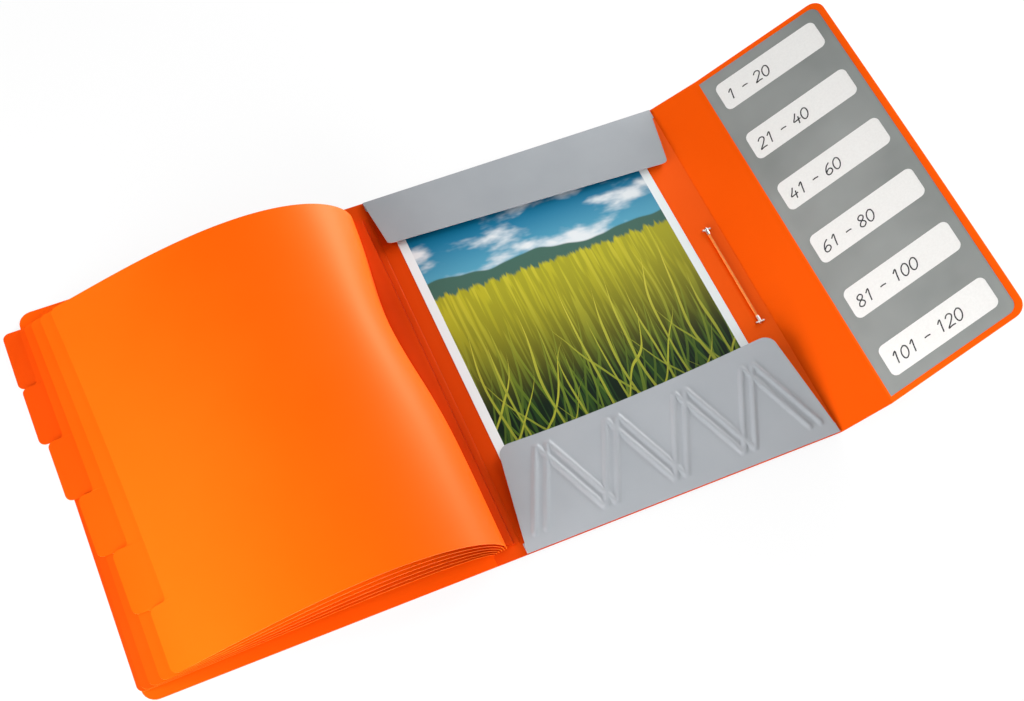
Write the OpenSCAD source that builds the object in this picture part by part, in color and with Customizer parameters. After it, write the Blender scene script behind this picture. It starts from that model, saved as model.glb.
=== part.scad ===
// Multi-compartment file, lying open on a table.
// Origin: centre of the back panel's outside face. X runs across the file,
// Y from its bottom edge to its top edge, Z up from the table. Units: mm.

/* [Cover sheet] */
// Width of the back panel between its two creases
panel_w = 251; // [230:1:280]
// Height of the whole cover sheet
panel_h = 317; // [305:1:340]
// Thickness of the cover sheet
cover_t = 0.8; // [0.5:0.1:1.2]
// Width of the spine panel
spine_w = 21; // [15:1:40]
// Width of the front cover
front_w = 250; // [230:1:280]
// Radius of the cover's free corners
cover_corner_r = 10; // [2:1:20]

/* [Gusset and closing flap] */
// Width of the gusset panel
gusset_w = 42; // [25:1:60]
// Angle at which the gusset rises from the table
gusset_tilt = 25.5; // [0:0.5:60]
// Width of the closing flap
flap_w = 116.5; // [80:0.5:140]
// Angle of the closing flap at the file's bottom edge
flap_tilt_bottom = 42; // [0:0.5:60]
// Angle of the closing flap at the file's top edge
flap_tilt_top = 30.5; // [0:0.5:60]

/* [Index card and labels] */
// Width of the index card
card_w = 109; // [70:1:120]
// Height of the index card
card_h = 308; // [280:1:320]
// Thickness of the index card
card_t = 0.3; // [0.2:0.1:0.6]
// Length of a label
label_w = 92; // [50:1:100]
// Height of a label
label_h = 26; // [15:1:40]
// Distance between labels
label_pitch = 52.4; // [40:0.1:60]
// Thickness of a label
label_t = 0.15; // [0.1:0.05:0.3]

/* [Dividers] */
// Height of a divider
divider_h = 296; // [285:1:315]
// How far the dividers sit below the middle of the cover
divider_drop = 2.5; // [0:0.5:5]
// Thickness of a divider
divider_t = 0.5; // [0.3:0.1:0.8]
// Distance from the spine crease to the longest tab's edge
tab_reach = 285; // [260:1:300]
// How much shorter the most arched divider reaches
reach_loss = 36; // [10:1:60]
// Depth of a tab
tab_depth = 12; // [6:1:20]
// Crest height of the lowest divider
crest_low = 13; // [11:0.5:20]
// Crest height of the top divider
crest_high = 48.7; // [35:0.1:60]
// Distance between the dividers' fold lines
root_pitch = 1.8; // [1.6:0.1:2.2]

/* [Inner flaps] */
// Depth of the top flap at its left and right end
top_flap_d = [45, 55]; // [30:1:80]
// Depth of the bottom flap at its left and right end
bottom_flap_d = [82, 89]; // [50:1:110]
// Thickness of the inner flaps and their strips
inner_t = 0.6; // [0.4:0.1:1]
// Angle of the top flap
top_flap_tilt = 4; // [2:0.5:12]
// Angle of the bottom flap
bottom_flap_tilt = 5; // [2:0.5:12]
// Height of the relief on the bottom flap
relief_h = 0.6; // [0.3:0.1:1]

/* [Elastic and sheet] */
// Diameter of the elastic cord
cord_d = 2; // [1.5:0.1:3]
// Length of the elastic between its two holes
cord_l = 89; // [60:1:150]
// Width of the printed sheet
sheet_w = 210; // [200:1:220]
// Height of the printed sheet
sheet_h = 297; // [280:1:300]
// Thickness of the printed sheet
sheet_t = 0.2; // [0.1:0.05:0.3]

/* [Hidden] */
$fn = 32;
divider_n = 6;
label_n = 6;
// Creases of the cover sheet.
x_spine = -panel_w / 2;
x_front = x_spine - spine_w;
x_gusset = panel_w / 2;
x_flap = x_gusset + gusset_w * cos(gusset_tilt);
z_flap = cover_t / 2 + gusset_w * sin(gusset_tilt);
// A panel stops this far from the axis of the crease at its edge.
crease_gap = 0.6;
// Fold of the strip on which the dividers are bound.
x_binding = x_spine - 5;
binding_t = 0.5;
z_binding = cover_t + 0.1 + binding_t / 2;
x_root_first = x_binding - 6.5 - root_pitch * (divider_n - 1);
z_root_first = z_binding + binding_t / 2 + 0.05 + divider_t / 2;
root_step = divider_t + 0.05;
foot_h = divider_h - 5;
leaf_gap = 1.2;
// Folds of the inner flaps.
y_fold = panel_h / 2 - 0.4;
z_fold = cover_t + inner_t + 0.1 + inner_t / 2;
inner_w = panel_w - 2;
strip_d = 8;
// Elastic.
x_cord = x_gusset - 11.6;
y_cord = -9;
z_cord = cover_t + cord_d / 2 + 0.4;
// Label card, in the closing flap's own plane.
card_gap = 0.06;

// Colours
orange = [1, 0.42, 0.05];
deep_orange = [0.85, 0.26, 0.02];
grey = [0.66, 0.68, 0.71];
card_grey = [0.5, 0.54, 0.52];
white = [0.95, 0.95, 0.94];
metal = [0.78, 0.78, 0.8];

// Divider k of divider_n, counted from the front cover upwards.
function share(k) = (k - 1) / (divider_n - 1);
function root_x(k) = x_root_first + root_pitch * (k - 1);
function root_z(k) = z_root_first + root_step * (k - 1);
function end_x(k) = x_spine - tab_reach + reach_loss * pow(share(k), 1.6);
function end_z(k) = 1.7 + (k - 1) + 0.17 * pow(k - 1, 2);
// The arch rises steeply from the fold and runs out towards the tab.
function run_out(k) = 1.8 - 0.6 * pow(share(k), 1.5);
function crest(k) = crest_low + (crest_high - crest_low) * pow(share(k), 1.1);
function arch(u, b) = pow(u, 0.6) * pow(1 - u, b);
function straight(k, u) = root_z(k) + (end_z(k) - root_z(k)) * u;
function crest_u(k) = 0.6 / (0.6 + run_out(k));
function arch_scale(k) = (crest(k) - straight(k, crest_u(k))) / arch(crest_u(k), run_out(k));
function divider_z(k, u) = straight(k, u) + arch_scale(k) * arch(u, run_out(k));
function divider_point(k, u) = [root_x(k) + (end_x(k) - root_x(k)) * u, divider_z(k, u)];
// The leaf starts beside its fold, clear of the fold's round edge.
function divider_start(k, n) = let (d = divider_point(k, pow(2 / n, 2)) - divider_point(k, 0))
    divider_point(k, 0) + d * leaf_gap / norm(d);
// Its last stretch runs on past the tab, where the outline cuts it off.
function divider_end(k, n) = let (d = divider_point(k, 1) - divider_point(k, pow(1 - 1 / n, 2)))
    divider_point(k, 1) + d * 4 / norm(d);
function divider_line(k, n) = concat([divider_start(k, n)],
    [for (i = [2 : n]) divider_point(k, pow(i / n, 2))], [divider_end(k, n)]);

// Unit normal of a line of points at point i.
function line_normal(p, i) = let (d = p[min(i + 1, len(p) - 1)] - p[max(i - 1, 0)])
    [d[1], -d[0]] / norm(d);

// Quarter of a circle for a rounded corner.
function corner(x, y, r, a) = [for (i = [0 : 6]) [x + r * cos(a + 15 * i), y + r * sin(a + 15 * i)]];

// Band of thickness t along a line of points.
module band(p, t) {
    upper = [for (i = [0 : len(p) - 1]) p[i] + line_normal(p, i) * t / 2];
    lower = [for (i = [len(p) - 1 : -1 : 0]) p[i] - line_normal(p, i) * t / 2];
    polygon(concat(upper, lower));
}

// Shape drawn in X and Z, extruded along Y about the middle of the file.
module along_y(length) {
    rotate([90, 0, 0]) linear_extrude(length, center = true) children();
}

// What is bound to the spine sits a little below the middle of the cover.
module bound() {
    translate([0, -divider_drop, 0]) children();
}

// Round edge on the axis of a crease that runs along Y.
module crease_y(x, z, r, length) {
    translate([x, 0, z]) rotate([90, 0, 0]) cylinder(r = r, h = length, center = true);
}

// Flat box given by its two corners.
module box(low, high) {
    translate(low) cube(high - low);
}

// Rectangle with round corners.
module round_rect(x0, x1, y0, y1, r) {
    polygon(concat(corner(x1 - r, y1 - r, r, 0), corner(x0 + r, y1 - r, r, 90),
        corner(x0 + r, y0 + r, r, 180), corner(x1 - r, y0 + r, r, 270)));
}

module back_panel() {
    color(orange) difference() {
        box([x_spine + crease_gap, -panel_h / 2, 0], [x_gusset - crease_gap, panel_h / 2, cover_t]);
        for (s = [-1, 1])
            translate([x_cord, y_cord + s * cord_l / 2, -1]) cylinder(d = cord_d + 0.6, h = cover_t + 2);
    }
}

module spine_panel() {
    color(orange) {
        box([x_front, -panel_h / 2, 0], [x_spine, panel_h / 2, cover_t]);
        for (x = [x_front, x_spine]) crease_y(x, cover_t / 2, cover_t / 2, panel_h);
    }
}

module front_cover() {
    color(orange) linear_extrude(cover_t) difference() {
        round_rect(x_front - front_w, x_front + 20, -panel_h / 2, panel_h / 2, cover_corner_r);
        translate([x_front - crease_gap, -panel_h]) square(2 * panel_h);
    }
}

module gusset_panel() {
    color(orange) translate([x_gusset, 0, cover_t / 2]) rotate([0, -gusset_tilt, 0]) {
        box([0, -panel_h / 2, -cover_t / 2], [gusset_w, panel_h / 2, cover_t / 2]);
        for (x = [0, gusset_w]) crease_y(x, 0, cover_t / 2, panel_h);
    }
}

// Angle of the closing flap at height v above the file's bottom edge.
function flap_tilt(v) = flap_tilt_bottom + (flap_tilt_top - flap_tilt_bottom) * v / panel_h;

// Point on the twisted flap: u across it, n through it, v up it.
function flap_point(u, n, v) = let (a = flap_tilt(v))
    [x_flap + u * cos(a) - n * sin(a), v - panel_h / 2, z_flap + u * sin(a) + n * cos(a)];

// Heights from v0 to v1, close together at corners of radius r.
function rows(v0, v1, r) = let (n = max(1, floor((v1 - v0 - 2 * r) / 11))) concat(
    [for (a = [0 : 18 : 90]) v0 + r * (1 - cos(a))],
    [for (i = [1 : n]) v0 + r + (v1 - v0 - 2 * r) * i / (n + 1)],
    [for (a = [90 : -18 : 0]) v1 - r * (1 - cos(a))]);

// How far a corner of radius r pulls the edge in at height v.
function pull(v, v0, v1, r) = let (d = r - min(r, v - v0, v1 - v)) r - sqrt(max(0, r * r - d * d));

// Closed sheet through sections of m + 1 points below and as many above, split alike on both faces.
module loft(s, m) {
    n = 2 * (m + 1);
    last = (len(s) - 1) * n;
    polyhedron([for (row = s) each row], concat(
        [for (i = [0, last], j = [0 : m - 1]) let (a = i + j, b = i + n - 1 - j)
            each i == 0 ? [[a, b, b - 1], [a, b - 1, a + 1]] : [[a, b - 1, b], [a, a + 1, b - 1]]],
        [for (i = [0 : len(s) - 2], j = [0 : n - 1]) let (a = i * n + j, b = i * n + (j + 1) % n)
            each j > m ? [[a, b, b + n], [a, b + n, a + n]] : [[a, b, a + n], [b, b + n, a + n]]]));
}

// Sheet that lies on the twisted flap. Its outer corners are round, and the inner ones too if asked.
module twisted_sheet(u0, u1, v0, v1, n0, n1, r, inner = true) {
    m = ceil((u1 - u0) / 15);
    loft([for (v = rows(v0, v1, r))
        let (in = pull(v, v0, v1, r), a = u0 + (inner ? in : 0), step = (u1 - in - a) / m)
        concat([for (j = [0 : m]) flap_point(a + step * j, n0, v)],
            [for (j = [m : -1 : 0]) flap_point(a + step * j, n1, v)])], m);
}

module closing_flap() {
    color(orange) twisted_sheet(crease_gap, flap_w, 0, panel_h, -cover_t / 2, cover_t / 2,
        cover_corner_r, inner = false);
}

module index_card() {
    v0 = (panel_h - card_h) / 2;
    n0 = cover_t / 2 + card_gap;
    color(card_grey) twisted_sheet(2, 2 + card_w, v0, v0 + card_h, n0, n0 + card_t, 7);
}

// Label i, counted from the top.
module label(i) {
    v = panel_h / 2 + label_pitch * ((label_n + 1) / 2 - i);
    n0 = cover_t / 2 + card_t + 2 * card_gap;
    color(white) twisted_sheet(11, 11 + label_w, v - label_h / 2, v + label_h / 2, n0, n0 + label_t, 5);
}

module label_1() { label(1); }
module label_2() { label(2); }
module label_3() { label(3); }
module label_4() { label(4); }
module label_5() { label(5); }
module label_6() { label(6); }

// Outline of an inner flap, its fold along X at y = 0; depth and taper are left and right.
module inner_outline(depth, taper, r) {
    intersection() {
        offset(r) offset(-r) polygon([[-inner_w / 2, -3 * r], [inner_w / 2, -3 * r], [inner_w / 2, 0],
            [inner_w / 2 - taper[1], depth[1]], [-inner_w / 2 + taper[0], depth[0]], [-inner_w / 2, 0]]);
        translate([-inner_w, 0]) square(2 * inner_w);
    }
}

module inner_flap(depth, taper, r) {
    translate([0, 0, -inner_t / 2]) linear_extrude(inner_t) inner_outline(depth, taper, r);
    rotate([0, 90, 0]) cylinder(d = inner_t, h = inner_w, center = true);
}

module inner_strip() {
    box([-inner_w / 2, -y_fold + crease_gap, cover_t], [inner_w / 2, -y_fold + strip_d, cover_t + inner_t]);
}

module top_flap() {
    color(grey) mirror([0, 1, 0]) translate([0, -y_fold, z_fold]) rotate([top_flap_tilt, 0, 0])
        inner_flap(top_flap_d, [4, 11], 5);
}

module top_flap_strip() {
    color(grey) mirror([0, 1, 0]) inner_strip();
}

// Zigzag of raised ribs, two ribs side by side in each stroke.
module relief() {
    for (i = [0 : 7])
        for (s = [-4.5, 4.5])
            translate([27.5 * (i - 3.5) + s, bottom_flap_d[0] / 2, inner_t / 2 - 0.1])
                rotate([0, 0, i % 2 == 0 ? 66 : -66])
                    translate([-33, -1.5, 0]) cube([66, 3, relief_h + 0.1]);
}

module bottom_flap() {
    color(grey) translate([0, -y_fold, z_fold]) rotate([bottom_flap_tilt, 0, 0]) {
        inner_flap(bottom_flap_d, [12, 14], 9);
        relief();
    }
}

module bottom_flap_strip() {
    color(grey) inner_strip();
}

module elastic_cord() {
    color(deep_orange) translate([x_cord, y_cord, z_cord]) rotate([90, 0, 0])
        cylinder(d = cord_d, h = cord_l - 3, center = true);
}

// Metal end: a sleeve on the cord, a cross bar, and a peg in the panel's hole.
module elastic_end(s) {
    translate([x_cord, y_cord + s * cord_l / 2, 0]) color(metal) {
        difference() {
            translate([0, s * 1.2, z_cord]) rotate([s * 90, 0, 0]) cylinder(d = cord_d + 0.7, h = 6);
            translate([0, -s * 1.45, z_cord]) rotate([s * 90, 0, 0]) cylinder(d = cord_d + 0.04, h = 6);
        }
        translate([0, s * 0.15, z_cord]) rotate([0, 90, 0]) cylinder(d = 1.6, h = 7, center = true);
        translate([0, 0, 0.05]) cylinder(d = cord_d, h = z_cord - 0.05);
    }
}

module elastic_end_upper() { elastic_end(1); }
module elastic_end_lower() { elastic_end(-1); }

module printed_sheet() {
    x0 = x_spine + 12.5;
    color(white) box([x0, -sheet_h / 2, cover_t + 0.05],
        [x0 + sheet_w, sheet_h / 2, cover_t + 0.05 + sheet_t]);
}

// Part of the binding strip that is welded to the spine.
module binding_margin() {
    color(deep_orange) bound() box([x_binding + crease_gap, -foot_h / 2, cover_t],
        [x_spine - 0.9, foot_h / 2, z_binding + binding_t / 2]);
}

module binding_strip() {
    color(deep_orange) bound() {
        box([root_x(1) - 1, -foot_h / 2, z_binding - binding_t / 2],
            [x_binding, foot_h / 2, z_binding + binding_t / 2]);
        crease_y(x_binding, z_binding, binding_t / 2, foot_h);
    }
}

// Foot of divider k: the bound part of the leaf, with a round edge on the leaf's fold.
module divider_foot(k) {
    color(deep_orange) bound() {
        box([root_x(k), -foot_h / 2, root_z(k) - divider_t / 2],
            [x_binding - crease_gap, foot_h / 2, root_z(k) + divider_t / 2]);
        crease_y(root_x(k), root_z(k), divider_t / 2, foot_h);
    }
}

module divider_foot_1() { divider_foot(1); }
module divider_foot_2() { divider_foot(2); }
module divider_foot_3() { divider_foot(3); }
module divider_foot_4() { divider_foot(4); }
module divider_foot_5() { divider_foot(5); }
module divider_foot_6() { divider_foot(6); }

// Plan of divider k with its tab, the first tab at the top.
module divider_plan(k) {
    top = divider_h / 2;
    tab_h = divider_h / divider_n;
    tab_top = top - tab_h * (k - 1);
    tab_low = tab_top - tab_h;
    x = end_x(k);
    edge = x + tab_depth;
    r = 5;
    polygon(concat([[root_x(k) + 20, -top], [root_x(k) + 20, top]],
        k == 1 ? [] : concat(corner(edge + r, top - r, r, 90), [[edge, tab_top]]),
        corner(x + r, tab_top - r, r, 90), corner(x + r, tab_low + r, r, 180),
        k == divider_n ? [] : concat([[edge, tab_low]], corner(edge + r, r - top, r, 180))));
}

module divider(k) {
    color(orange) bound() intersection() {
        along_y(divider_h + 4) band(divider_line(k, 24), divider_t);
        linear_extrude(2 * crest_high) divider_plan(k);
    }
}

module divider_1() { divider(1); }
module divider_2() { divider(2); }
module divider_3() { divider(3); }
module divider_4() { divider(4); }
module divider_5() { divider(5); }
module divider_6() { divider(6); }

back_panel();
spine_panel();
front_cover();
gusset_panel();
closing_flap();
index_card();
label_1();
label_2();
label_3();
label_4();
label_5();
label_6();
top_flap();
top_flap_strip();
bottom_flap();
bottom_flap_strip();
elastic_cord();
elastic_end_upper();
elastic_end_lower();
printed_sheet();
binding_margin();
binding_strip();
divider_foot_1();
divider_foot_2();
divider_foot_3();
divider_foot_4();
divider_foot_5();
divider_foot_6();
divider_1();
divider_2();
divider_3();
divider_4();
divider_5();
divider_6();
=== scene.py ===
import math

import bpy
import numpy as np
from mathutils import Matrix, Vector


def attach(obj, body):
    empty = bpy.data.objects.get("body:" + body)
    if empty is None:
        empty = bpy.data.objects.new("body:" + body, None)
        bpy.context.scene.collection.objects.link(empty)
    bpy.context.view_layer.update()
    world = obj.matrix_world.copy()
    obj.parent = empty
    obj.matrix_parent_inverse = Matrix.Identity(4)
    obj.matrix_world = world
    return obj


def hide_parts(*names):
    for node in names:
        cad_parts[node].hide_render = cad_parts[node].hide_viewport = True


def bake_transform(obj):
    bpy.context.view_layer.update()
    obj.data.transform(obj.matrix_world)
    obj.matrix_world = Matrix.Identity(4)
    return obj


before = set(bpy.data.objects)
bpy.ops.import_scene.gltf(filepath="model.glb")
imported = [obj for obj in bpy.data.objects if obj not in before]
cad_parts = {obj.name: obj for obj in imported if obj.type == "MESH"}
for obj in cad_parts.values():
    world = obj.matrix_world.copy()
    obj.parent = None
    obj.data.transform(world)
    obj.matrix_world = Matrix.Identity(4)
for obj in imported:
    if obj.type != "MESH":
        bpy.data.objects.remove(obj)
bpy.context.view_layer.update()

# Sizes and places of the object, in millimetres as in the part's source
MM_PER_M = 1000.0
EDGE_BEVEL = 0.15

# Cover
PANEL_W, PANEL_H, COVER_T = 251.0, 317.0, 0.8
SPINE_W, COVER_CORNER_R = 21.0, 10.0
GUSSET_W, GUSSET_TILT = 42.0, math.radians(25.5)
FLAP_W, FLAP_TILT_BOTTOM, FLAP_TILT_TOP = 116.5, math.radians(42.0), math.radians(30.5)
X_SPINE, X_GUSSET = -PANEL_W / 2, PANEL_W / 2
X_FRONT = X_SPINE - SPINE_W
X_FLAP = X_GUSSET + GUSSET_W * math.cos(GUSSET_TILT)
Z_CREASE = COVER_T / 2
Z_FLAP = Z_CREASE + GUSSET_W * math.sin(GUSSET_TILT)
CREASE_HALF_W, CREASE_T, CREASE_END_GAP = 1.1, 0.5, 0.2

# Index card and labels, in the closing flap's own plane
CARD_U, CARD_W, CARD_H, CARD_T, CARD_R = 2.0, 109.0, 308.0, 0.3, 7.0
LABELS, LABEL_U, LABEL_W, LABEL_H, LABEL_T, LABEL_R = 6, 11.0, 92.0, 26.0, 0.15, 5.0
LABEL_PITCH, CARD_GAP = 52.4, 0.06
CARD_N = COVER_T / 2 + CARD_GAP + CARD_T / 2
LABEL_N = COVER_T / 2 + CARD_T + 2 * CARD_GAP + LABEL_T / 2

# Numbers on the labels: pen strokes that stand a little above the paper
INK_H, INK_W, INK_SLANT, INK_MARGIN, INK_DROP = 9.5, 1.05, 0.12, 6.0, 6.0
INK_TOP, INK_LOW = LABEL_N + LABEL_T / 2 + 0.02, LABEL_N + LABEL_T / 2 - 0.005
DIGIT_STEP, SPACE_STEP = 0.78, 0.5

# Dividers
DIVIDERS, DIVIDER_H, DIVIDER_DROP, DIVIDER_T = 6, 296.0, 2.5, 0.5
ROOT_X, ROOT_Z, ROOT_PITCH, ROOT_STEP = X_SPINE - 11.5, 1.7, 1.8, 0.55
TAB_REACH, REACH_LOSS, TOP_REACH = 285.0, 36.0, 10.0
END_Z, END_RISE = 1.7, 0.17
CREST_LOW, CREST_GAIN, ARCH_RISE = 13.0, 35.7, 0.6
FLAT_RUN, FLAT_Y, FLAT_SPREAD, FLAT_FADE = 11.0, 50.0, 62.0, 0.09
TAB_H, TAB_DEPTH, LEAF_CORNER_R, TAB_FILLET_R = DIVIDER_H / DIVIDERS, 12.0, 5.0, 3.0
FLAT_COLS, ARCH_COLS = 6, 56

# Inner flaps and the relief on the lower one
Y_FOLD, Z_FOLD, INNER_W, INNER_T, INNER_BEVEL = 158.1, 1.8, 249.0, 0.6, 0.1
EDGE_DIP = 4.5
RIB_STROKES, RIB_PITCH, RIB_APART, RIB_Y = 8, 27.5, 9.0, 41.0
RIB_ANGLE, RIB_HALF_L, RIB_HALF_W, RIB_H = math.radians(66), 32.0, 3.0, 1.4

# Elastic and sheet
CORD_X, CORD_Y_UPPER, CORD_Y_LOWER, CORD_Z, CORD_R = X_GUSSET - 11.6, 34.0, -52.0, 2.2, 1.0
CORD_L, CORD_END_BEVEL = CORD_Y_UPPER - CORD_Y_LOWER, 0.12
SHEET_W, SHEET_H, SHEET_X0, SHEET_BORDER = 210.0, 297.0, X_SPINE + 12.5, 7.0


# Materials

class Shader:
    """A material's node tree, with a short call for each kind of node that is used here."""

    def __init__(self, name):
        self.material = bpy.data.materials.new(name)
        self.material.use_nodes = True
        self.nodes = self.material.node_tree.nodes
        self.links = self.material.node_tree.links

    def feed(self, socket, value):
        """Link the socket to another node's output, or set it to a number, a vector or a colour."""
        if isinstance(value, bpy.types.NodeSocket):
            self.links.new(value, socket)
        elif socket.type == "RGBA":
            socket.default_value = (*value, 1.0)
        else:
            socket.default_value = value

    def add(self, kind, inputs=None, **settings):
        """New node with its settings, and with the inputs that are given by name or number."""
        new = self.nodes.new(kind)
        for key, value in settings.items():
            setattr(new, key, value)
        for key, value in (inputs or {}).items():
            self.feed(new.inputs[key], value)
        return new

    def place(self):
        return self.add("ShaderNodeTexCoord").outputs["Object"]

    def split(self, vector):
        return self.add("ShaderNodeSeparateXYZ", {0: vector}).outputs

    def noise(self, vector, scale, detail, roughness):
        inputs = {"Vector": vector, "Scale": scale, "Detail": detail, "Roughness": roughness}
        return self.add("ShaderNodeTexNoise", inputs).outputs["Fac"]

    def ramp(self, value, low, high, start=0.3, end=0.7):
        new = self.add("ShaderNodeValToRGB", {"Fac": value})
        for stop, at, colour in zip(new.color_ramp.elements, (start, end), (low, high)):
            stop.position = at
            stop.color = (*colour, 1.0)
        return new.outputs["Color"]

    def calc(self, operation, *values):
        return self.add("ShaderNodeMath", dict(enumerate(values)), operation=operation).outputs[0]

    def mix(self, factor, a, b):
        """Mix of two colours; in this node they are inputs 6 and 7, and the result is output 2."""
        return self.add("ShaderNodeMix", {0: factor, 6: a, 7: b}, data_type="RGBA").outputs[2]

    def fade(self, value, low, high, start=0.0, end=1.0, kind="SMOOTHSTEP"):
        """Value that goes from start to end while the given one goes from low to high."""
        inputs = {"Value": value, "From Min": low, "From Max": high, "To Min": start, "To Max": end}
        return self.add("ShaderNodeMapRange", inputs, interpolation_type=kind).outputs["Result"]

    def bump(self, height, strength, distance):
        inputs = {"Height": height, "Strength": strength, "Distance": distance}
        return self.add("ShaderNodeBump", inputs).outputs["Normal"]

    def shade(self, inputs):
        """Give the surface its inputs and return the finished material."""
        for key, value in inputs.items():
            self.feed(self.nodes["Principled BSDF"].inputs[key], value)
        return self.material


# Places on the back panel, in metres, between which its painted shade towards the spine fades out
SPINE_SHADE_FADE = (-0.115, 0.06)


def plastic(name, low, high, rough, grain=0.04, cloud=18.0, specular=0.5, tint=(1, 1, 1), deep=None):
    """Calendered plastic sheet: cloudy colour, fine grain and a roughness that varies a little.

    Where a shade colour is given, the colour darkens to it towards the spine: painted shade."""
    s = Shader(name)
    at = s.place()
    tone = s.noise(at, cloud, 3.0, 0.55)
    colour = s.ramp(tone, low, high)
    if deep:
        # Painted shade: the colour darkens towards the spine, where the arched dividers shade the panel.
        colour = s.mix(s.fade(s.split(at)["X"], *SPINE_SHADE_FADE), deep, colour)
    return s.shade({
        "Base Color": colour,
        "Roughness": s.fade(tone, 0.0, 1.0, rough - 0.05, rough + 0.06, "LINEAR"),
        "Normal": s.bump(s.noise(at, 900.0, 2.0, 0.5), grain, 0.0004),
        "Specular IOR Level": specular,
        "Specular Tint": tint})


def paper(name, low, high, rough):
    """Paper with fine fibres."""
    s = Shader(name)
    fibre = s.noise(s.place(), 600.0, 5.0, 0.65)
    return s.shade({"Base Color": s.ramp(fibre, low, high), "Normal": s.bump(fibre, 0.05, 0.0002),
                    "Roughness": rough})


def metal(name):
    """Bright metal, a little uneven."""
    s = Shader(name)
    streak = s.noise(s.place(), 1500.0, 3.0, 0.6)
    colour = s.ramp(streak, (0.62, 0.61, 0.6), (0.85, 0.85, 0.84), 0.25, 0.75)
    return s.shade({"Base Color": colour, "Metallic": 1.0, "Roughness": 0.28})


def woven(name):
    """Braided cover of the elastic: fine bands of light and dark thread."""
    s = Shader(name)
    inputs = {"Vector": s.place(), "Scale": 700.0, "Distortion": 1.5}
    wave = s.add("ShaderNodeTexWave", inputs).outputs["Fac"]
    colour = s.ramp(wave, (0.75, 0.15, 0.012), (1.0, 0.36, 0.06), 0.2, 0.8)
    return s.shade({"Base Color": colour, "Normal": s.bump(wave, 0.5, 0.0003), "Roughness": 0.6})


WARM = (1.0, 0.50, 0.06)


def orange(name, low, high, rough, **more):
    """Orange plastic sheet, whose gloss is warm too."""
    return plastic(name, low, high, rough, tint=WARM, **more)


# Red and green of the dividers, from the lowest leaf to the top one: the lower leaves are darker, as
# painted shade
LEAF_SHADE_TONES = ((0.74, 0.062), (0.76, 0.067), (0.80, 0.080), (0.84, 0.096), (0.87, 0.106), (0.88, 0.112))

ORANGE = orange("orange_sheet", (0.90, 0.090, 0.002), (0.94, 0.100, 0.003), 0.38, cloud=9.0, specular=0.2)
# Back panel: orange that darkens towards the spine as painted shade.
SHADED_BACK = orange("back_sheet_painted_shade", (0.92, 0.090, 0.002), (0.96, 0.100, 0.003), 0.38, cloud=9.0, specular=0.2,
              deep=(0.68, 0.055, 0.002))
# Lit and shaded copies of one divider sheet: painted shade darkens the lower leaves.
DIVIDER_SHADES = [orange(f"divider_shaded_sheet_{i}", (r, g, 0.002), (r + 0.03, g * 1.07, 0.003), 0.46, cloud=9.0,
                  specular=0.20)
           for i, (r, g) in enumerate(LEAF_SHADE_TONES)]
# Cut edges: brighter orange than the sheet, a painted glow of light through the edge.
EDGE_GLOW = orange("cut_edge_glow", (0.98, 0.16, 0.008), (1.0, 0.22, 0.015), 0.42)
# Binding, divider feet and the leaves' flat run beside the fold: darker orange as painted shade in the
# spine strip.
BINDING_SHADE = orange("binding_painted_shade", (0.64, 0.048, 0.002), (0.70, 0.054, 0.002), 0.42, specular=0.25)
# Spine: darker orange than the cover, as painted shade.
SHADED_SPINE = orange("spine_painted_shade", (0.70, 0.058, 0.002), (0.76, 0.064, 0.003), 0.40, cloud=9.0, specular=0.25)
GREY = plastic("grey_sheet", (0.36, 0.38, 0.405), (0.39, 0.41, 0.435), 0.40, grain=0.08, specular=0.35)
# Top flap: the same grey sheet made darker, as painted shade.
GREY_TOP_SHADED = plastic("grey_top_shaded_sheet", (0.30, 0.32, 0.34), (0.33, 0.35, 0.37), 0.40, grain=0.08,
                   specular=0.35)
# Cut edges of the grey flaps: paler grey as a painted highlight.
GREY_EDGE_HIGHLIGHT = plastic("grey_edge_highlight", (0.50, 0.52, 0.55), (0.58, 0.60, 0.63), 0.45)
# Index card: wide light and dark patches, partly random tone and partly painted glare.
CARD_WITH_GLARE = plastic("index_card", (0.205, 0.220, 0.212), (0.292, 0.308, 0.299), 0.44, grain=0.03, cloud=11.0,
               specular=0.2)
LABEL = paper("label_paper", (0.76, 0.76, 0.74), (0.81, 0.81, 0.79), 0.5)
INK = paper("ink", (0.012, 0.012, 0.014), (0.03, 0.03, 0.034), 0.5)
STEEL = metal("bright_metal")
ELASTIC = woven("elastic")


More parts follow.
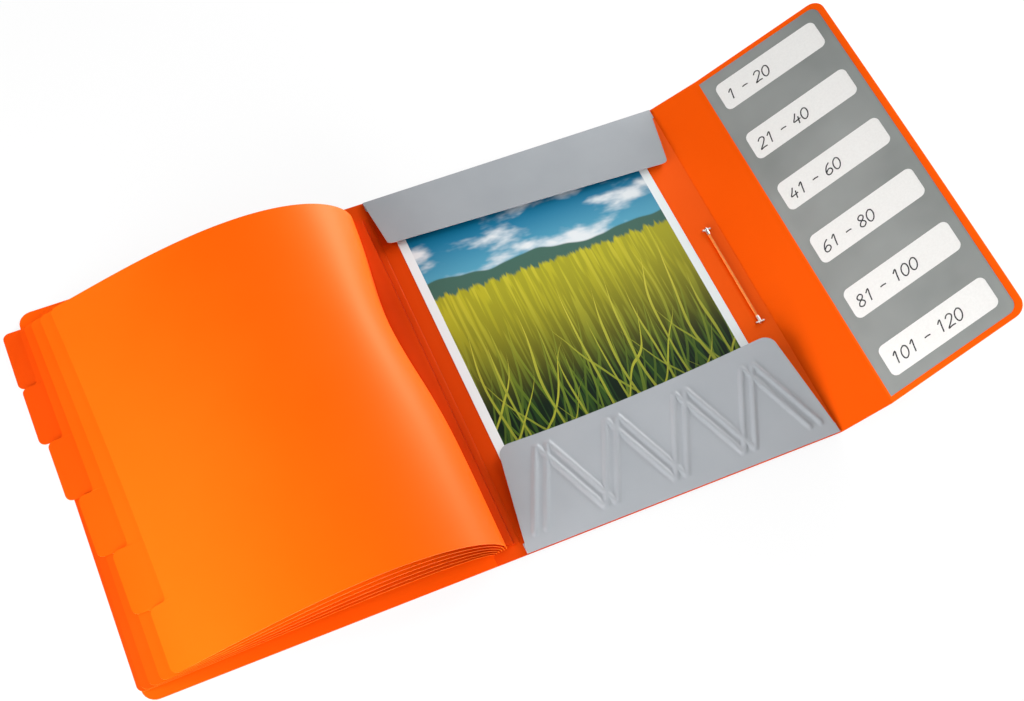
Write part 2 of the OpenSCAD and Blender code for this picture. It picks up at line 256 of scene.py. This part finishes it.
def picture():
    """Printed landscape: a blue sky with soft clouds, far hills and a meadow of tall grass.

    Places in it are in metres, measured on the sheet from the middle of the file."""
    s = Shader("printed_sheet")
    at = s.place()
    x, y, _ = s.split(at)
    paper_white, cloud_white = (0.80, 0.85, 0.86), (0.72, 0.76, 0.78)
    sky_low, sky_high, hill_green = (0.10, 0.36, 0.50), (0.002, 0.15, 0.29), (0.055, 0.13, 0.10)
    ground_near, ground_far = (0.003, 0.012, 0.004), (0.36, 0.34, 0.018)
    blade_foot, blade_width = -0.09, 0.0009

    def stretched(angle, sx, sy, offset):
        inputs = {"Vector": at, "Rotation": (0, 0, math.radians(angle)), "Scale": (sx, sy, 1),
                  "Location": (offset, offset * 0.7, 0)}
        return s.add("ShaderNodeMapping", inputs).outputs[0]

    def below(line, soft_low, soft_high):
        """1 below a line of heights and 0 above it, with a soft border."""
        return s.fade(s.calc("SUBTRACT", line, y), soft_low, soft_high)

    # Sky: deep blue at the top, paler towards the hills, with soft clouds.
    scene = s.mix(s.fade(y, 0.055, 0.112), sky_low, sky_high)
    puff = s.noise(stretched(4, 17, 36, 3.1), 1.0, 4.0, 0.5)
    scene = s.mix(s.fade(puff, 0.5, 0.66), scene, cloud_white)
    # Hills: a soft dark ridge behind the meadow.
    ridge = s.noise(stretched(0, 14, 0.001, 5.0), 1.0, 2.0, 0.5)
    scene = s.mix(below(s.calc("MULTIPLY_ADD", ridge, 0.03, 0.054), -0.0006, 0.0012), scene, hill_green)
    # Meadow: two layers of leaning blades, brighter towards the far edge.
    edge = s.noise(stretched(0, 160, 6, 1.0), 1.0, 3.0, 0.6)
    edge_y = s.calc("MULTIPLY_ADD", edge, 0.022, 0.046)
    far = s.fade(y, -0.06, 0.06)
    ground = s.mix(far, ground_near, ground_far)
    for angle, sx, sy, low, high, near_c, far_c, offset in (
            (9, 330, 16, 0.50, 0.60, (0.012, 0.04, 0.008), (0.46, 0.42, 0.02), 2.0),
            (-16, 280, 14, 0.55, 0.62, (0.03, 0.075, 0.01), (0.52, 0.47, 0.03), 7.0)):
        blade = s.noise(stretched(angle, sx, sy, offset), 1.0, 1.5, 0.4)
        ground = s.mix(s.fade(blade, low, high), ground, s.mix(far, near_c, far_c))
    # Single bent blades in front, each row leaning its own way; every blade has its own height.
    for i, (lean, pitch, bend, tip, near_c, far_c) in enumerate((
            (-0.55, 0.011, 2.2, 0.02, (0.06, 0.11, 0.012), (0.42, 0.40, 0.03)),
            (0.40, 0.013, -2.6, 0.01, (0.07, 0.13, 0.012), (0.45, 0.42, 0.03)),
            (-0.25, 0.012, 1.4, 0.035, (0.12, 0.18, 0.018), (0.56, 0.49, 0.04)),
            (0.85, 0.019, -3.4, -0.01, (0.22, 0.26, 0.025), (0.60, 0.52, 0.05)),
            (-0.95, 0.021, 4.0, -0.005, (0.36, 0.37, 0.035), (0.66, 0.56, 0.06)),
            (0.12, 0.015, -1.2, 0.03, (0.28, 0.31, 0.03), (0.66, 0.57, 0.06)))):
        up = s.calc("ADD", y, -blade_foot)
        bow = s.calc("MULTIPLY", s.calc("MULTIPLY", up, up), bend)
        u = s.calc("ADD", s.calc("MULTIPLY_ADD", up, lean, x), bow)
        sway = s.noise(stretched(0, 30, 9, 3.0 + i), 1.0, 1.0, 0.5)
        u = s.calc("ADD", s.calc("MULTIPLY_ADD", u, 1 / pitch, 31.7 * i), s.calc("MULTIPLY", sway, 1.1))
        random = s.add("ShaderNodeTexWhiteNoise", {"W": s.calc("FLOOR", u)}, noise_dimensions="1D")
        pick = s.add("ShaderNodeSeparateColor", {0: random.outputs["Color"]}).outputs
        middle = s.calc("MULTIPLY_ADD", pick[0], 0.6, 0.2)
        top = s.calc("MULTIPLY_ADD", pick[1], 0.07, tip - 0.05)
        width = s.calc("MULTIPLY", below(top, 0.0, 0.05), blade_width / pitch)
        width = s.calc("MULTIPLY", width, s.calc("GREATER_THAN", pick[2], 0.3))
        off = s.calc("SUBTRACT", s.calc("FRACT", u), middle)
        line = s.calc("LESS_THAN", s.calc("ABSOLUTE", off), width)
        ground = s.mix(line, ground, s.mix(far, near_c, far_c))
    scene = s.mix(below(edge_y, -0.001, 0.003), scene, ground)
    # White border of the paper.
    off_x = s.calc("ABSOLUTE", s.calc("SUBTRACT", x, (SHEET_X0 + SHEET_W / 2) / MM_PER_M))
    inside = s.calc("MULTIPLY", s.calc("LESS_THAN", off_x, (SHEET_W / 2 - SHEET_BORDER) / MM_PER_M),
                    s.calc("LESS_THAN", s.calc("ABSOLUTE", y), (SHEET_H / 2 - SHEET_BORDER) / MM_PER_M))
    return s.shade({"Base Color": s.mix(inside, paper_white, scene), "Roughness": 0.45,
                    "Specular IOR Level": 0.15})


PICTURE = picture()


# Mesh helpers

def bevel_edges(obj, width):
    edge = obj.modifiers.new("edge", "BEVEL")
    edge.width = width / MM_PER_M
    edge.segments = 2
    edge.limit_method = "ANGLE"
    return edge


def finish_mesh(name, verts, faces, mats, index, body, nodes, bevel=0.0, angle=38):
    """Smooth object from points in millimetres; index gives each face its material."""
    mesh = bpy.data.meshes.new(name)
    mesh.from_pydata((np.asarray(verts) / MM_PER_M).tolist(), [], faces)
    for m in mats:
        mesh.materials.append(m)
    mesh.polygons.foreach_set("material_index", index)
    mesh.polygons.foreach_set("use_smooth", [True] * len(faces))
    mesh.set_sharp_from_angle(angle=math.radians(angle))
    mesh.update()
    obj = bpy.data.objects.new(name, mesh)
    bpy.context.scene.collection.objects.link(obj)
    if bevel:
        bevel_edges(obj, bevel).angle_limit = math.radians(50)
    if body:
        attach(obj, body)
    if nodes:
        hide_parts(*nodes)
    return obj


def sheet(name, grid, t, mats, body, nodes=(), bevel=0.0):
    """Closed sheet of thickness t about a grid of points; its cut edge takes the last material."""
    grid = np.asarray(grid, float)
    rows, cols, _ = grid.shape
    normal = np.cross(np.gradient(grid, axis=1), np.gradient(grid, axis=0))
    normal /= np.linalg.norm(normal, axis=2, keepdims=True)
    flip = normal[rows // 2, cols // 2, 2] < 0
    if flip:
        normal = -normal
    verts = np.concatenate([(grid + normal * t / 2).reshape(-1, 3), (grid - normal * t / 2).reshape(-1, 3)])
    faces, index = [], []

    def top(i, j):
        return i * cols + j

    def low(i, j):
        return rows * cols + i * cols + j

    def add(face, material):
        faces.append(face[::-1] if flip else face)
        index.append(material)

    for i in range(rows - 1):
        for j in range(cols - 1):
            add((top(i, j), top(i + 1, j), top(i + 1, j + 1), top(i, j + 1)), 0)
            add((low(i, j), low(i, j + 1), low(i + 1, j + 1), low(i + 1, j)), 0)
    cut = len(mats) - 1
    last_i, last_j = rows - 1, cols - 1
    for i in range(last_i):
        add((top(i, 0), low(i, 0), low(i + 1, 0), top(i + 1, 0)), cut)
        add((top(i, last_j), top(i + 1, last_j), low(i + 1, last_j), low(i, last_j)), cut)
    for j in range(last_j):
        add((top(0, j), top(0, j + 1), low(0, j + 1), low(0, j)), cut)
        add((top(last_i, j), low(last_i, j), low(last_i, j + 1), top(last_i, j + 1)), cut)
    return finish_mesh(name, verts, faces, mats, index, body, nodes, bevel)


def quarter(r, n):
    """Steps of a quarter circle of radius r, as distances from the edge."""
    return [r * (1 - math.cos(a)) for a in np.linspace(0, math.pi / 2, n)]


def spaced(v0, v1, r, step):
    """Places from v0 to v1, close together where the corners are round."""
    arc = quarter(r, 9)
    n = max(2, int((v1 - v0 - 2 * r) / step))
    middle = np.linspace(v0 + r, v1 - r, n + 1)[1:-1]
    return [v0 + d for d in arc] + list(middle) + [v1 - d for d in reversed(arc)]


def inset(v, v0, v1, r):
    """How far a round corner of radius r pulls the edge in at place v."""
    d = min(v - v0, v1 - v)
    return 0.0 if d >= r else r - math.sqrt(max(0.0, r * r - (r - d) ** 2))


# Closing flap with its card and labels

def flap_point(u, v, n):
    """Point on the twisted flap: u across it, v up it, n through it."""
    a = FLAP_TILT_BOTTOM + (FLAP_TILT_TOP - FLAP_TILT_BOTTOM) * v / PANEL_H
    return (X_FLAP + u * math.cos(a) - n * math.sin(a), v - PANEL_H / 2,
            Z_FLAP + u * math.sin(a) + n * math.cos(a))


def flap_sheet(name, u, v, n, t, r, mats, node, inner=False, step=8, cols=30, bevel=0.0):
    """Sheet on the twisted flap, between two places u and two places v.

    Its outer corners are round, and with inner the other two as well."""
    grid = []
    for at in spaced(*v, r, step):
        pull = inset(at, *v, r)
        a = u[0] + (pull if inner else 0.0)
        b = u[1] - pull
        grid.append([flap_point(a + (b - a) * j / cols, at, n) for j in range(cols + 1)])
    sheet(name, grid, t, mats, "closing_flap", [node], bevel)


def label_v(i):
    """Middle of label i, counted from the top."""
    return PANEL_H / 2 + LABEL_PITCH * ((LABELS + 1) / 2 - i)


flap_sheet("closing_flap_sheet", (0.0, FLAP_W), (0.0, PANEL_H), 0.0, COVER_T, COVER_CORNER_R,
           [ORANGE, EDGE_GLOW], "closing_flap", bevel=EDGE_BEVEL)
flap_sheet("index_card_sheet", (CARD_U, CARD_U + CARD_W), ((PANEL_H - CARD_H) / 2, (PANEL_H + CARD_H) / 2),
           CARD_N, CARD_T, CARD_R, [CARD_WITH_GLARE], "index_card")
for i in range(1, LABELS + 1):
    flap_sheet(f"label_{i}_paper", (LABEL_U, LABEL_U + LABEL_W),
               (label_v(i) - LABEL_H / 2, label_v(i) + LABEL_H / 2), LABEL_N, LABEL_T, LABEL_R,
               [LABEL], f"label_{i}", inner=True, step=3, cols=20)


# Numbers written by hand on the labels: strokes in a box 0.6 wide and 1 high
STROKES = {
    "0": [(0.34, 1), (0.1, 0.84), (0, 0.5), (0.08, 0.14), (0.28, 0), (0.5, 0.16), (0.6, 0.5), (0.52, 0.86),
          (0.3, 1)],
    "1": [(0.1, 0.76), (0.36, 1), (0.34, 0.5), (0.32, 0)],
    "2": [(0.02, 0.78), (0.16, 0.96), (0.36, 1), (0.55, 0.86), (0.53, 0.64), (0.3, 0.33), (0, 0),
          (0.3, 0.04), (0.62, 0.02)],
    "4": [(0.34, 1), (0.18, 0.66), (0, 0.34), (0.3, 0.33), (0.64, 0.37)],
    "|": [(0.48, 0.62), (0.45, 0.3), (0.42, -0.04)],
    "6": [(0.5, 0.97), (0.2, 0.76), (0.03, 0.36), (0.1, 0.06), (0.34, 0), (0.56, 0.18), (0.5, 0.42),
          (0.28, 0.48), (0.06, 0.3)],
    "8": [(0.54, 0.86), (0.34, 1), (0.1, 0.88), (0.12, 0.66), (0.46, 0.42), (0.56, 0.2), (0.34, 0),
          (0.06, 0.14), (0.14, 0.4), (0.46, 0.62), (0.55, 0.84)],
    "-": [(0.06, 0.48), (0.3, 0.5), (0.58, 0.47)],
}
# A four has two strokes and a space has none; the other signs have one.
STROKES_OF_SIGN = {"4": "4|", " ": ""}


def flowing(points, n=5):
    """Smooth line through the points of a stroke."""
    p = np.array([points[0], *points, points[-1]], float)
    out = []
    for i in range(1, len(p) - 2):
        a, b, c, d = p[i - 1:i + 3]
        for t in np.arange(n) / n:
            out.append(0.5 * (2 * b + (c - a) * t + (2 * a - 5 * b + 4 * c - d) * t ** 2
                              + (3 * b - a - 3 * c + d) * t ** 3))
    return np.array(out + [p[-2]])


def written(name, text, u, v):
    """Pen strokes of a number, as thin raised ribbons on a label."""
    verts, faces = [], []
    for sign in text:
        for stroke in STROKES_OF_SIGN.get(sign, sign):
            line = flowing(STROKES[stroke]) * INK_H + np.array((u, v))
            line[:, 0] += (line[:, 1] - v) * INK_SLANT
            d = np.gradient(line, axis=0)
            side = np.stack([-d[:, 1], d[:, 0]], 1) / np.linalg.norm(d, axis=1, keepdims=True) * INK_W / 2
            first = len(verts)
            for p, q in zip(line, side):
                verts += [flap_point(*(p + q), INK_TOP), flap_point(*(p - q), INK_TOP),
                          flap_point(*(p - q), INK_LOW), flap_point(*(p + q), INK_LOW)]
            last = len(verts) - 4
            for a in range(first, last, 4):
                faces += [(a + j, a + 4 + j, a + 4 + (j + 1) % 4, a + (j + 1) % 4) for j in range(4)]
            faces += [(first, first + 1, first + 2, first + 3), (last + 3, last + 2, last + 1, last)]
        u += INK_H * (SPACE_STEP if sign == " " else DIGIT_STEP)
    finish_mesh(name, verts, faces, [INK], [0] * len(faces), "closing_flap", [])


for i, text in enumerate(("1 - 20", "21 - 40", "41 - 60", "61 - 80", "81 - 100", "101 - 120"), 1):
    written(f"label_{i}_ink", text, LABEL_U + INK_MARGIN, label_v(i) - INK_DROP)


# Creases of the cover

def crease(name, centre, along, mat, rows=40, cols=8):
    """Thin scored strip at a crease along Y."""
    c, d = np.array(centre), np.array(along)
    y_end = PANEL_H / 2 - CREASE_END_GAP
    steps = np.linspace(-CREASE_HALF_W, CREASE_HALF_W, cols + 1)
    grid = []
    for y in np.linspace(-y_end, y_end, rows):
        grid.append([c + d * step + np.array((0, y, 0)) for step in steps])
    obj = sheet(name, grid, CREASE_T, [mat], None)
    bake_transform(obj)


def halfway(tilt_a, tilt_b):
    """Direction across a crease, halfway between the tilts of its two panels."""
    a = (tilt_a + tilt_b) / 2
    return math.cos(a), 0, math.sin(a)


# The spine crease takes the spine's painted shade.
crease("spine_crease", (X_SPINE, 0, Z_CREASE), (-1, 0, 0), SHADED_SPINE)
crease("front_crease", (X_FRONT, 0, Z_CREASE), (-1, 0, 0), ORANGE)
crease("gusset_crease", (X_GUSSET, 0, Z_CREASE), halfway(0, GUSSET_TILT), ORANGE)
crease("flap_crease", (X_FLAP, 0, Z_FLAP),
       halfway(GUSSET_TILT, (FLAP_TILT_BOTTOM + FLAP_TILT_TOP) / 2), ORANGE)


# Dividers

def share(k):
    """Place of divider k in the set: 0 for the lowest leaf, 1 for the top one."""
    return (k - 1) / (DIVIDERS - 1)


def root(k):
    """X and Z of divider k's fold line."""
    return ROOT_X - ROOT_PITCH * (DIVIDERS - k), ROOT_Z + ROOT_STEP * (k - 1)


def tab_ends(k):
    """Heights of the lower and the upper end of divider k's tab."""
    top = DIVIDER_H / 2 - TAB_H * (k - 1)
    return top - TAB_H, top


def flat_run(y):
    """Length of the stretch beside the fold that lies flat before the leaf rises."""
    return FLAT_RUN * math.exp(-((y - FLAT_Y) / FLAT_SPREAD) ** 2)


def divider_line(k, y):
    """Middle line of divider k at height y, as a function of u, and the X of its two ends.

    u runs from 0 at the fold to 1 at the tab's outer edge."""
    up = y / DIVIDER_H + 0.5
    xr, zr = root(k)
    xe = X_SPINE - TAB_REACH + REACH_LOSS * share(k) ** 1.6 - TOP_REACH * share(k) * up ** 2
    ze = END_Z + (k - 1) + END_RISE * (k - 1) ** 2
    run_out = 1.8 - 0.6 * share(k) ** 1.5
    crest = CREST_LOW + CREST_GAIN * share(k) ** 1.1
    crest_u = ARCH_RISE / (ARCH_RISE + run_out)
    arch = (crest - zr - (ze - zr) * crest_u) / (crest_u ** ARCH_RISE * (1 - crest_u) ** run_out)
    arch *= 0.94 + 0.16 * up
    flat = flat_run(y) / (xr - xe)

    def at(u):
        w = max(0.0, u - flat * math.exp(-(u / FLAT_FADE) ** 2))
        z = zr + (ze - zr) * u + arch * w ** ARCH_RISE * (1 - w) ** run_out
        return xr + (xe - xr) * u, y - DIVIDER_DROP, z

    return at, xr, xe


def tab_edge(k, y):
    """Distance of divider k's edge from the outer edge of its tab."""
    low, top = tab_ends(k)
    if low <= y <= top:
        return inset(y, low, top, LEAF_CORNER_R)
    gap = low - y if y < low else y - top
    fillet = inset(gap, 0, math.inf, TAB_FILLET_R)
    return TAB_DEPTH - fillet + inset(y, -DIVIDER_H / 2, DIVIDER_H / 2, LEAF_CORNER_R)


def leaf_heights(k):
    """Heights of divider k's rows of points, close together at its corners and at its tab's ends."""
    half = DIVIDER_H / 2
    heights = set(np.round(spaced(-half, half, LEAF_CORNER_R, 7), 4))
    for end in tab_ends(k):
        for d in quarter(LEAF_CORNER_R, 7) + [0.02]:
            heights |= {round(end - d, 4), round(end + d, 4)}
    return sorted(y for y in heights if -half <= y <= half)


def leaf(k):
    """Divider k: its flat stretch beside the fold takes the binding's painted shade."""
    heights = leaf_heights(k)
    grid = []
    for y in heights:
        at, xr, xe = divider_line(k, y)
        reach = (xe + tab_edge(k, y) - xr) / (xe - xr)
        flat = flat_run(y) / (xr - xe)
        line = [at(flat * j / FLAT_COLS) for j in range(FLAT_COLS)]
        grid.append(line + [at(flat + (reach - flat) * (j / ARCH_COLS) ** 2) for j in range(ARCH_COLS + 1)])
    obj = sheet(f"divider_{k}_leaf", grid, DIVIDER_T, [DIVIDER_SHADES[k - 1], BINDING_SHADE, EDGE_GLOW], f"divider_{k}",
                [f"divider_{k}"])
    cols = FLAT_COLS + ARCH_COLS
    # Painted shade: the flat run beside the fold takes the dark binding colour.
    for face in obj.data.polygons[:2 * (len(heights) - 1) * cols]:
        if face.index // 2 % cols <= FLAT_COLS:
            face.material_index = 1


for k in range(1, DIVIDERS + 1):
    leaf(k)


# Inner flaps

def rib_height(x, y):
    """Zigzag relief: two soft ribs side by side in each stroke."""
    h = np.zeros_like(x)
    for i in range(RIB_STROKES):
        a = RIB_ANGLE if i % 2 == 0 else -RIB_ANGLE
        for shift in (-RIB_APART / 2, RIB_APART / 2):
            dx = x - (RIB_PITCH * (i - (RIB_STROKES - 1) / 2) + shift)
            dy = y - RIB_Y
            past = np.maximum(np.abs(dx * math.cos(a) + dy * math.sin(a)) - RIB_HALF_L, 0)
            across = np.abs(-dx * math.sin(a) + dy * math.cos(a))
            near = np.clip(1 - np.hypot(past, across) / RIB_HALF_W, 0, 1)
            h = np.maximum(h, RIB_H * near * near * (3 - 2 * near))
    return h


def inner_sheet(piece, depth, taper, corner, tilt, twist, side, mat, ribs=False):
    """Inner flap about its fold; depth and taper are given for its left and its right end.

    Its rows run from 0 at the fold to 100 at the free edge, and corner is in the same measure."""
    full = 100.0
    rows = [0.0] + [v for v in spaced(-corner, full, corner, 1.6 if ribs else 5) if v > 0.2]
    cols = 220 if ribs else 60
    grid = []
    for v in rows:
        part = v / full
        pull = inset(v, -10 * full, full, corner)
        x0 = -INNER_W / 2 + taper[0] * part + pull
        x1 = INNER_W / 2 - taper[1] * part - pull
        xs = x0 + (x1 - x0) * np.arange(cols + 1) / cols
        along = xs / INNER_W + 0.5
        dip = EDGE_DIP * np.sin(math.pi * along ** 0.8) if ribs else 0
        y = part * (depth[0] + (depth[1] - depth[0]) * along - dip)
        lift = rib_height(xs, y) if ribs else np.zeros_like(xs)
        a = math.radians(tilt) + math.radians(twist) * xs / (INNER_W / 2)
        py = y * np.cos(a) - lift * np.sin(a)
        pz = Z_FOLD + y * np.sin(a) + lift * np.cos(a)
        grid.append(np.stack([xs, side * (py - Y_FOLD), pz], axis=1))
    sheet(f"{piece}_sheet", grid, INNER_T, [mat, GREY_EDGE_HIGHLIGHT], piece, [piece], INNER_BEVEL)


inner_sheet("bottom_flap", depth=(82.0, 89.0), taper=(12.0, 14.0), corner=9.0, tilt=5.0, twist=2.0, side=1,
            mat=GREY, ribs=True)
inner_sheet("top_flap", depth=(45.0, 55.0), taper=(4.0, 11.0), corner=5.0, tilt=4.0, twist=-0.8, side=-1,
            mat=GREY_TOP_SHADED)


# Elastic: a braided cord, taut between its two metal ends

def elastic(sides=20, rings=130, threads=3, pitch=2.4):
    verts, faces = [], []
    for y in np.linspace(CORD_Y_UPPER, CORD_Y_LOWER, rings + 1):
        for j in range(sides):
            a = 2 * math.pi * j / sides
            crossing = abs(math.sin(threads * a + pitch * y)) * abs(math.sin(threads * a - pitch * y))
            r = CORD_R * (0.95 + 0.05 * crossing)
            verts.append((CORD_X + r * math.cos(a), y, CORD_Z + r * math.sin(a)))
    for i in range(rings):
        for j in range(sides):
            a, b = i * sides + j, i * sides + (j + 1) % sides
            faces.append((a, b, b + sides, a + sides))
    faces += [tuple(reversed(range(sides))), tuple(range(rings * sides, (rings + 1) * sides))]
    obj = finish_mesh("elastic_braid", verts, faces, [ELASTIC], [0] * len(faces), "back",
                      ["elastic_cord"], angle=60)
    path = [(CORD_X / MM_PER_M, y / MM_PER_M, CORD_Z / MM_PER_M)
            for y in np.linspace(CORD_Y_UPPER, CORD_Y_LOWER, 9)]
    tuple(path[0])


elastic()


# Nodes kept from the model

def dress(names, mat, bevel=0.0):
    for name in names:
        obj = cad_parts[name]
        obj.data.materials.clear()
        obj.data.materials.append(mat)
        if bevel:
            bevel_edges(obj, bevel)


dress(["front_cover", "gusset_panel"], ORANGE, EDGE_BEVEL)
dress(["back_panel"], SHADED_BACK, EDGE_BEVEL)
# Spine panel: darker orange as painted shade.
dress(["spine_panel"], SHADED_SPINE, EDGE_BEVEL)
# Binding and divider feet: darker orange as painted shade in the spine strip.
dress(["binding_margin", "binding_strip"], BINDING_SHADE)
dress([f"divider_foot_{k}" for k in range(1, DIVIDERS + 1)], BINDING_SHADE)
dress(["top_flap_strip", "bottom_flap_strip"], GREY)
dress(["elastic_end_upper", "elastic_end_lower"], STEEL, CORD_END_BEVEL)
dress(["printed_sheet"], PICTURE)


# Floor, light and camera, in metres
FLOOR_HALF, FLOOR_Z = 6.0, -0.0003
# Share of the floor's own white, near the object and away from it, and where it changes
FLOOR_WHITE_NEAR, FLOOR_WHITE_FAR, FLOOR_NEAR, FLOOR_FAR = 0.84, 0.985, 0.45, 1.0


def floor_material():
    """Pale floor that shows the object's shadow, and fades to an even white away from it."""
    s = Shader("floor")
    s.nodes.clear()
    ray = s.add("ShaderNodeLightPath").outputs
    seen = s.calc("MAXIMUM", ray["Is Camera Ray"], ray["Is Glossy Ray"])
    seen = s.calc("MAXIMUM", seen, ray["Is Transmission Ray"])
    reach = s.add("ShaderNodeVectorMath", {0: s.place()}, operation="LENGTH").outputs["Value"]
    part = s.fade(reach, FLOOR_NEAR, FLOOR_FAR, FLOOR_WHITE_NEAR, FLOOR_WHITE_FAR)
    matte = s.add("ShaderNodeBsdfDiffuse", {"Color": (0.86, 0.86, 0.86)}).outputs[0]
    white = s.add("ShaderNodeEmission").outputs[0]
    both = s.add("ShaderNodeMixShader", {0: s.calc("MULTIPLY", seen, part), 1: matte, 2: white}).outputs[0]
    s.add("ShaderNodeOutputMaterial", {"Surface": both})
    return s.material


def stage_floor():
    corners = [(FLOOR_HALF * a, FLOOR_HALF * b, FLOOR_Z) for a, b in ((-1, -1), (1, -1), (1, 1), (-1, 1))]
    mesh = bpy.data.meshes.new("floor")
    mesh.from_pydata(corners, [], [(0, 1, 2, 3)])
    mesh.materials.append(floor_material())
    floor = bpy.data.objects.new("floor", mesh)
    bpy.context.scene.collection.objects.link(floor)


def studio_world():
    world = bpy.data.worlds.new("studio")
    bpy.context.scene.world = world
    world.use_nodes = True
    sky = world.node_tree.nodes["Background"]
    sky.inputs["Color"].default_value = (0.93, 0.96, 1.0, 1)
    sky.inputs["Strength"].default_value = 0.05


def lamp(name, at, target, size, watts):
    """Rectangular softbox that the camera doesn't see."""
    data = bpy.data.lights.new(name, "AREA")
    data.shape = "RECTANGLE"
    data.size, data.size_y = size
    data.energy = watts
    obj = bpy.data.objects.new(name, data)
    bpy.context.scene.collection.objects.link(obj)
    obj.location = at
    obj.rotation_euler = (Vector(target) - Vector(at)).to_track_quat("-Z", "Y").to_euler()
    obj.visible_camera = False


stage_floor()
studio_world()
lamp("left_softbox", (-0.80, -0.42, 0.24), (-0.33, -0.10, 0.02), (1.3, 0.46), 16.5)
lamp("back_left_softbox", (-1.14, 0.42, 1.01), (-0.2, -0.05, 0.03), (0.36, 0.36), 4.4)
lamp("right_low_softbox", (1.12, 0.48, 0.29), (-0.12, 0.0, 0.03), (1.5, 0.5), 40)
lamp("right_high_softbox", (0.86, 0.56, 0.70), (-0.12, 0.0, 0.03), (0.5, 0.5), 4.5)
lamp("right_top_softbox", (0.55, -0.20, 0.95), (0.25, -0.02, 0.02), (0.5, 0.5), 2.6)

# Camera, fitted to the photograph
CAMERA_AZ, CAMERA_EL, CAMERA_ROLL = math.radians(-28.41), math.radians(60.06), math.radians(-5.46)
CAMERA_AT = Vector((-0.35036, -0.5251, 1.02601))
FOCAL_PX, IMAGE_W_PX, SENSOR_MM = 1598.9, 1024, 36


def place_camera():
    back = Vector((math.sin(CAMERA_AZ) * math.cos(CAMERA_EL), -math.cos(CAMERA_AZ) * math.cos(CAMERA_EL),
                   math.sin(CAMERA_EL)))
    level_right = Vector((math.cos(CAMERA_AZ), math.sin(CAMERA_AZ), 0))
    level_up = back.cross(level_right)
    right = level_right * math.cos(CAMERA_ROLL) - level_up * math.sin(CAMERA_ROLL)
    up = level_right * math.sin(CAMERA_ROLL) + level_up * math.cos(CAMERA_ROLL)
    data = bpy.data.cameras.new("camera")
    data.sensor_width = SENSOR_MM
    data.lens = FOCAL_PX / IMAGE_W_PX * SENSOR_MM
    data.clip_end = 50
    camera = bpy.data.objects.new("camera", data)
    bpy.context.scene.collection.objects.link(camera)
    turn = Matrix((right, up, back)).transposed().to_4x4()
    camera.matrix_world = Matrix.Translation(CAMERA_AT) @ turn
    bpy.context.scene.camera = camera


place_camera()
bpy.context.scene.view_settings.view_transform = "Standard"
